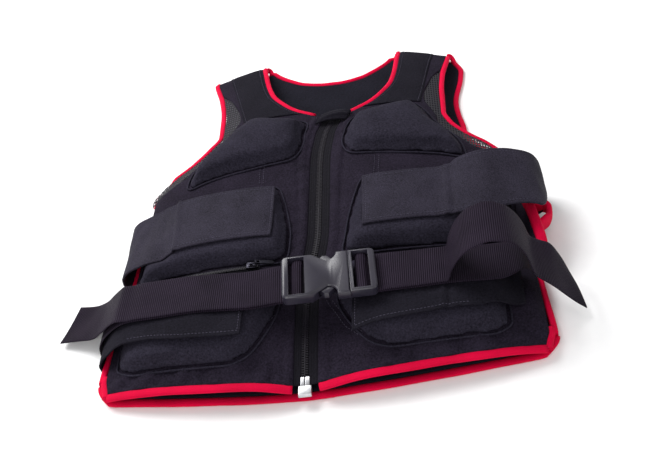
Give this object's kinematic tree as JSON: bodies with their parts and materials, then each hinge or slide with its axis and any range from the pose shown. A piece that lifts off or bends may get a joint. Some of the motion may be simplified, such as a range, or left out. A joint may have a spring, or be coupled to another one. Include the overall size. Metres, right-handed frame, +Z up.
{
  "type": "weighted vest",
  "caption": "Black weighted vest with crimson binding, six weight pads, front zip, two pairs of straps and a fastened 50 mm waist buckle, lying front up.",
  "frame": {"origin": "middle of the flat back, on the surface it lies on", "axes": "+Z up out of the surface, +Y from hem to neck, +X towards the wearer's left"},
  "size_m": [0.5435, 0.5963, 0.1148],
  "materials": {
    "cloth": "matte woven polyester",
    "pad_cloth": "soft brushed neoprene-faced cloth",
    "mesh_cloth": "open mesh",
    "smooth_cloth": "smooth laminated cloth",
    "binding": "crimson folded binding",
    "webbing": "ribbed nylon",
    "buckle": "satin moulded acetal",
    "zip_cloth": "woven tape",
    "zip_plastic": "moulded or coil teeth",
    "zip_metal": "worn plating"
  },
  "bodies": {
    "vest": {"armhole_binding_back_left": "binding", "armhole_binding_back_right": "binding", "armhole_binding_front_left": "binding", "armhole_binding_front_right": "binding", "armhole_mesh_left": "mesh_cloth", "armhole_mesh_right": "mesh_cloth", "back_panel": "cloth", "buckle_plug": "buckle", "buckle_socket": "buckle", "chest_pad_left": "pad_cloth", "chest_pad_right": "pad_cloth", "front_panel_left": "cloth", "front_panel_right": "cloth", "hem_binding_back": "binding", "hem_binding_front_left": "binding", "hem_binding_front_right": "binding", "lower_strap_left": "smooth_cloth", "lower_strap_right": "smooth_cloth", "neck_binding_back": "binding", "neck_binding_left": "binding", "neck_binding_right": "binding", "pocket_zip_chain": "zip_plastic", "pocket_zip_slider": "zip_metal", "pocket_zip_tape": "zip_cloth", "rib_pad_left": "pad_cloth", "rib_pad_right": "pad_cloth", "shoulder_patch_left": "smooth_cloth", "shoulder_patch_right": "smooth_cloth", "side_binding_left": "binding", "side_binding_right": "binding", "upper_strap_left": "smooth_cloth", "upper_strap_right": "smooth_cloth", "waist_pad_left": "pad_cloth", "waist_pad_right": "pad_cloth", "waist_webbing_left": "webbing", "waist_webbing_right": "webbing", "webbing_tail_left": "webbing", "webbing_tail_right": "webbing", "zip_chain": "zip_plastic", "zip_end_pin_left": "zip_metal", "zip_end_pin_right": "zip_metal", "zip_garage": "smooth_cloth", "zip_retainer_box": "zip_metal", "zip_tape_left": "zip_cloth", "zip_tape_right": "zip_cloth"},
    "zip_pull": {"pocket_zip_pull": "zip_metal"}
  },
  "joints": [
    {"name": "pocket_zip_pull_swing", "type": "hinge", "parent": "vest", "child": "zip_pull", "pos_m": [-0.07252, -0.14502, 0.04978], "axis": [-0.0649, 0.9979, 0], "range_deg": [-175, 0]}
  ]
}
